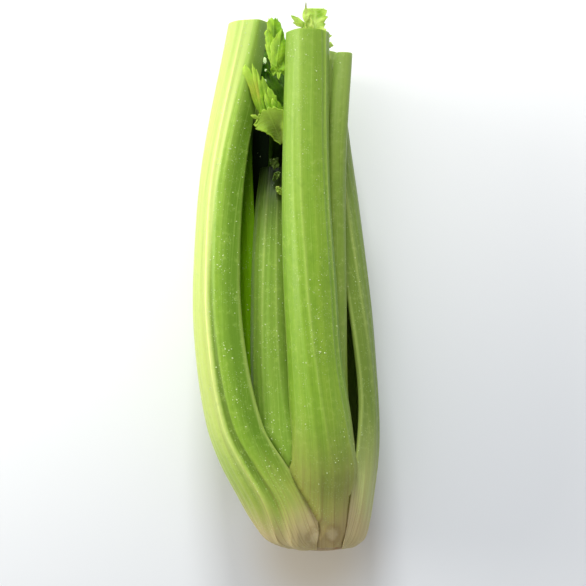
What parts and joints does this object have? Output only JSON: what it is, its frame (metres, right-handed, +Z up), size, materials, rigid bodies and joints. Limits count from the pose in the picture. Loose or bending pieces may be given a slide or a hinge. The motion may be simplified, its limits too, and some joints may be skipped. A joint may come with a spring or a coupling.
{
  "type": "head of celery",
  "caption": "Trimmed head of celery lying on its side: ribbed crescent stalks clasping each other round a short root plate, with a heart of small stalks and a few cut leaves.",
  "frame": {"origin": "on the surface that the head lies on, under the middle of its bounding box", "axes": "+Z up; +Y along the head, from the root plate to the cut tops; +X to the right of somebody looking down on it with the tops pointing away"},
  "size_m": [0.1012, 0.2902, 0.0793],
  "materials": {
    "outer_stalk": "fresh celery skin: waxy satin with lengthwise strings, yellow-green, cream at the sheath, wet with fine droplets",
    "inner_stalk": "younger celery skin: waxy satin, finer strings, paler towards the root",
    "heart_stalk": "blanched heart stalk: smooth, pale yellow-green",
    "leaf": "thin fresh leaf: satin, bright yellow-green with paler veins, lets light through",
    "shrivelled_leaf": "small wilted leaf: matt, olive and straw coloured",
    "root": "trimmed stem: matt cream to tan, fibrous, browned on the cut face and at the scars of removed stalks"
  },
  "bodies": {
    "root": {"root_plate": "root", "outer_left_stalk": "outer_stalk", "under_right_stalk": "outer_stalk", "outer_right_stalk": "outer_stalk", "under_left_stalk": "outer_stalk", "front_stalk": "outer_stalk", "inner_left_stalk": "inner_stalk", "upper_right_stalk": "inner_stalk", "inner_under_stalk": "inner_stalk", "inner_upper_stalk": "inner_stalk", "inner_right_stalk": "inner_stalk", "thin_stalk": "inner_stalk", "heart_stalk_1": "heart_stalk", "heart_stalk_2": "heart_stalk", "heart_stalk_3": "heart_stalk", "upper_leaf": "leaf", "fingered_leaf": "leaf", "fan_leaf": "leaf", "shaded_leaf": "leaf", "cut_leaf": "leaf", "leaf_tip": "leaf", "side_leaf": "leaf", "shrivelled_leaflet_1": "shrivelled_leaf", "shrivelled_leaflet_2": "shrivelled_leaf", "shrivelled_leaflet_3": "shrivelled_leaf"}
  },
  "joints": []
}
